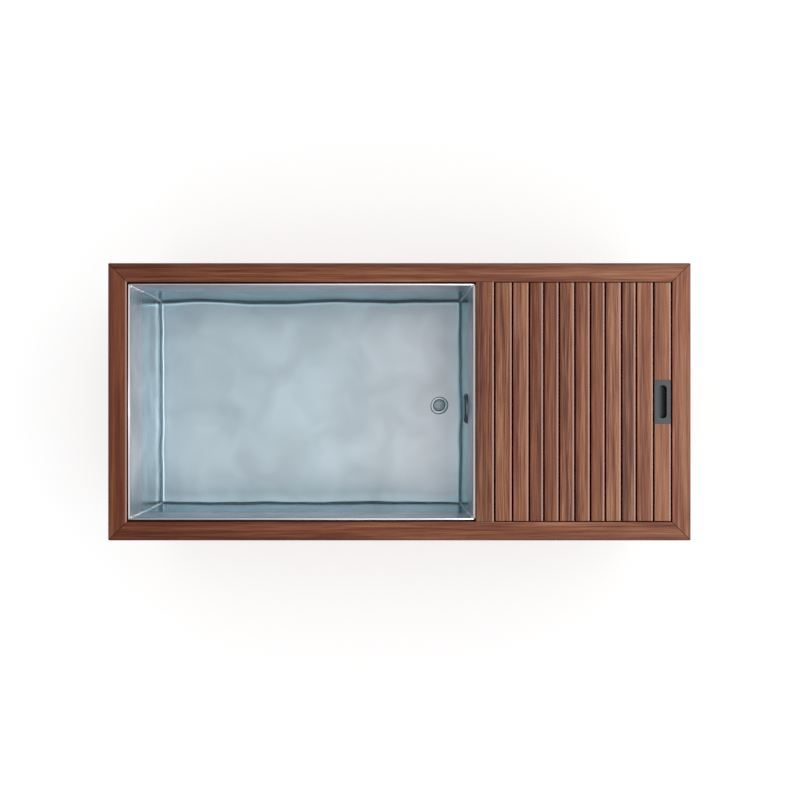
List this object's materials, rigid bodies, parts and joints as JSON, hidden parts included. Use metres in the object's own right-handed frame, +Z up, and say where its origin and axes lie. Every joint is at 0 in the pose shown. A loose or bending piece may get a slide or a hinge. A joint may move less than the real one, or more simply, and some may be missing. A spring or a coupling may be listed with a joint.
{
  "type": "cold plunge tub",
  "caption": "Free-standing cold plunge tub: welded steel basin in a boarded hardwood surround, with a hinged slatted hatch over its chiller, pump and filter bay.",
  "frame": {"origin": "on the floor under the centre of the rim", "axes": "+X along the tub from the basin to the hatch, +Y to the back, where the drain outlet is, +Z up"},
  "size_m": [2.1, 1, 0.7],
  "materials": {
    "rim_wood": "oiled hardwood, eased edges",
    "divider_wood": "oiled hardwood, eased edges",
    "slat_wood": "oiled hardwood, eased edges",
    "panel_wood": "oiled hardwood boards on ply",
    "basin_steel": "brushed stainless sheet, welded corners",
    "fitting_steel": "turned stainless",
    "bearer_alloy": "extruded bar, black anodised",
    "pull_alloy": "dark anodised, satin",
    "plywood": "sanded marine ply",
    "runner_rubber": "moulded",
    "seal_rubber": "extruded strip",
    "black_plastic": "moulded, fine texture",
    "white_plastic": "moulded",
    "grey_plastic": "moulded",
    "foam": "closed-cell foam board",
    "coated_steel": "powder coated sheet",
    "motor_paint": "sprayed enamel",
    "lever_paint": "dipped grip on steel",
    "hose": "ribbed hose"
  },
  "bodies": {
    "tub": {"rim_front": "rim_wood", "rim_right": "rim_wood", "rim_back": "rim_wood", "rim_left": "rim_wood", "divider_board": "divider_wood", "pivot_block_back": "black_plastic", "pivot_block_front": "black_plastic", "rest_cleat": "divider_wood", "basin_floor": "basin_steel", "basin_wall_back": "basin_steel", "basin_wall_left": "basin_steel", "basin_wall_front": "basin_steel", "basin_wall_right": "basin_steel", "basin_seal": "seal_rubber", "drain_body": "fitting_steel", "drain_strainer": "fitting_steel", "return_body": "grey_plastic", "return_cover": "fitting_steel", "foam_jacket": "foam", "bulkhead": "plywood", "base_board": "plywood", "panel_front": "panel_wood", "panel_right": "panel_wood", "panel_back": "panel_wood", "panel_left": "panel_wood", "runner_front": "runner_rubber", "runner_back": "runner_rubber", "chiller_case": "coated_steel", "fan_guard": "black_plastic", "fan_motor": "black_plastic", "pump_body": "black_plastic", "pump_motor": "motor_paint", "filter_housing": "white_plastic", "control_box": "white_plastic", "suction_tee": "white_plastic", "drain_valve": "fitting_steel", "drain_outlet": "fitting_steel", "cable_gland": "black_plastic", "suction_hose": "hose", "pressure_hose": "hose", "filter_hose": "hose", "return_hose": "hose"},
    "hatch": {"lid_slat_01": "slat_wood", "lid_slat_02": "slat_wood", "lid_slat_03": "slat_wood", "lid_slat_04": "slat_wood", "lid_slat_05": "slat_wood", "lid_slat_06": "slat_wood", "lid_slat_07": "slat_wood", "lid_slat_08": "slat_wood", "lid_slat_09": "slat_wood", "lid_slat_10": "slat_wood", "lid_slat_11": "slat_wood", "flush_pull": "pull_alloy", "lid_bearer_back": "bearer_alloy", "lid_bearer_front": "bearer_alloy"},
    "fan": {"chiller_fan": "black_plastic"},
    "filter_cap": {"filter_lid": "motor_paint"},
    "lever": {"valve_lever": "lever_paint"},
    "button": {"power_button": "black_plastic"}
  },
  "joints": [
    {"name": "hatch_hinge", "type": "hinge", "parent": "tub", "child": "hatch", "pos_m": [0.45025, 0, 0.667], "axis": [0, -1, 0], "range_deg": [0, 100]},
    {"name": "fan_spin", "type": "hinge", "parent": "tub", "child": "fan", "pos_m": [0.752, 0.232, 0.4], "axis": [0, 0, 1], "continuous": true},
    {"name": "filter_lid_turn", "type": "hinge", "parent": "tub", "child": "filter_cap", "pos_m": [0.396, -0.276, 0.38], "axis": [0, 0, 1], "range_deg": [0, 60]},
    {"name": "drain_lever_turn", "type": "hinge", "parent": "tub", "child": "lever", "pos_m": [0.374, 0.0813, 0.09], "axis": [0, 0, 1], "range_deg": [0, 90]},
    {"name": "power_button_press", "type": "slide", "parent": "tub", "child": "button", "axis": [0, -0.9342, -0.3567], "range_m": [0, 0.002], "stiffness_N_per_m": 400}
  ]
}
